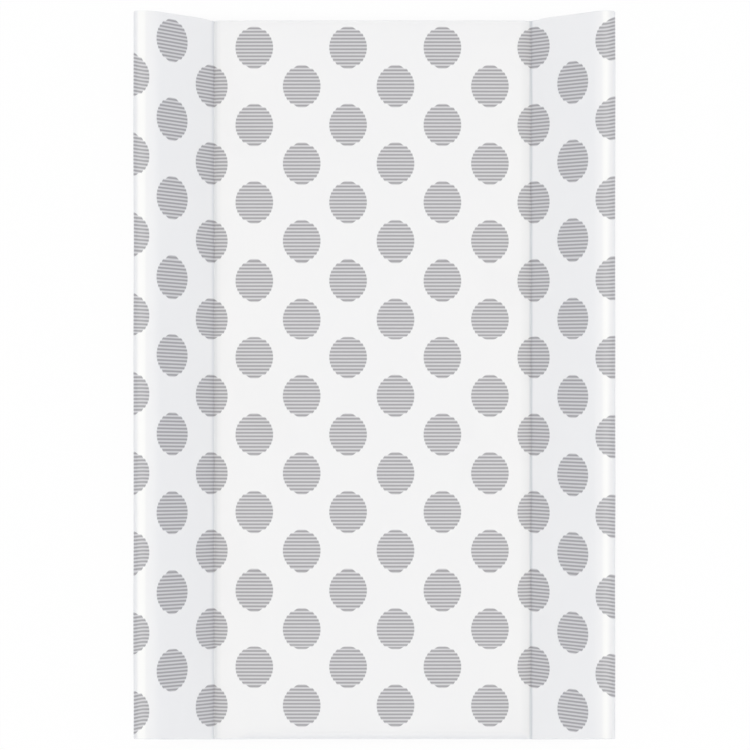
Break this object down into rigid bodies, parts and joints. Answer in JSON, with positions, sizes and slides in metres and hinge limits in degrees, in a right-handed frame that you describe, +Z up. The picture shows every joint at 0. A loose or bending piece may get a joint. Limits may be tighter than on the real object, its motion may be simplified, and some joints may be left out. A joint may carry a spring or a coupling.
{
  "type": "hard changing board",
  "caption": "Rigid baby changing board: flat padded mat between two raised sloping side wings, under one printed wipe-clean film, with stop battens below to sit on cot rails.",
  "frame": {"origin": "middle of the board's outline, at the plane of the rubber pads it stands on", "axes": "+X across the board to the right wing, +Y along the board to the head end, +Z up out of the mat"},
  "size_m": [0.512, 0.7833, 0.101],
  "materials": {
    "printed_film": "satin",
    "strip_film": "satin",
    "foam": "matte",
    "fibreboard": "matte",
    "bonded_cloth": "matte",
    "pine": "satin",
    "staple_steel": "satin",
    "screw_steel": "satin",
    "pad_rubber": "matte"
  },
  "bodies": {
    "root": {"base_board": "fibreboard", "mat_foam": "foam", "left_wedge_foam": "foam", "right_wedge_foam": "foam", "left_crease_strip": "strip_film", "right_crease_strip": "strip_film", "crease_staples": "staple_steel", "cover_film": "printed_film", "side_hem_staples": "staple_steel", "end_hem_staples": "staple_steel", "dust_sheet": "bonded_cloth", "side_sheet_staples": "staple_steel", "end_sheet_staples": "staple_steel", "head_stop_batten": "pine", "foot_stop_batten": "pine", "head_batten_screws": "screw_steel", "foot_batten_screws": "screw_steel", "head_left_pad": "pad_rubber", "head_right_pad": "pad_rubber", "foot_left_pad": "pad_rubber", "foot_right_pad": "pad_rubber"}
  },
  "joints": []
}
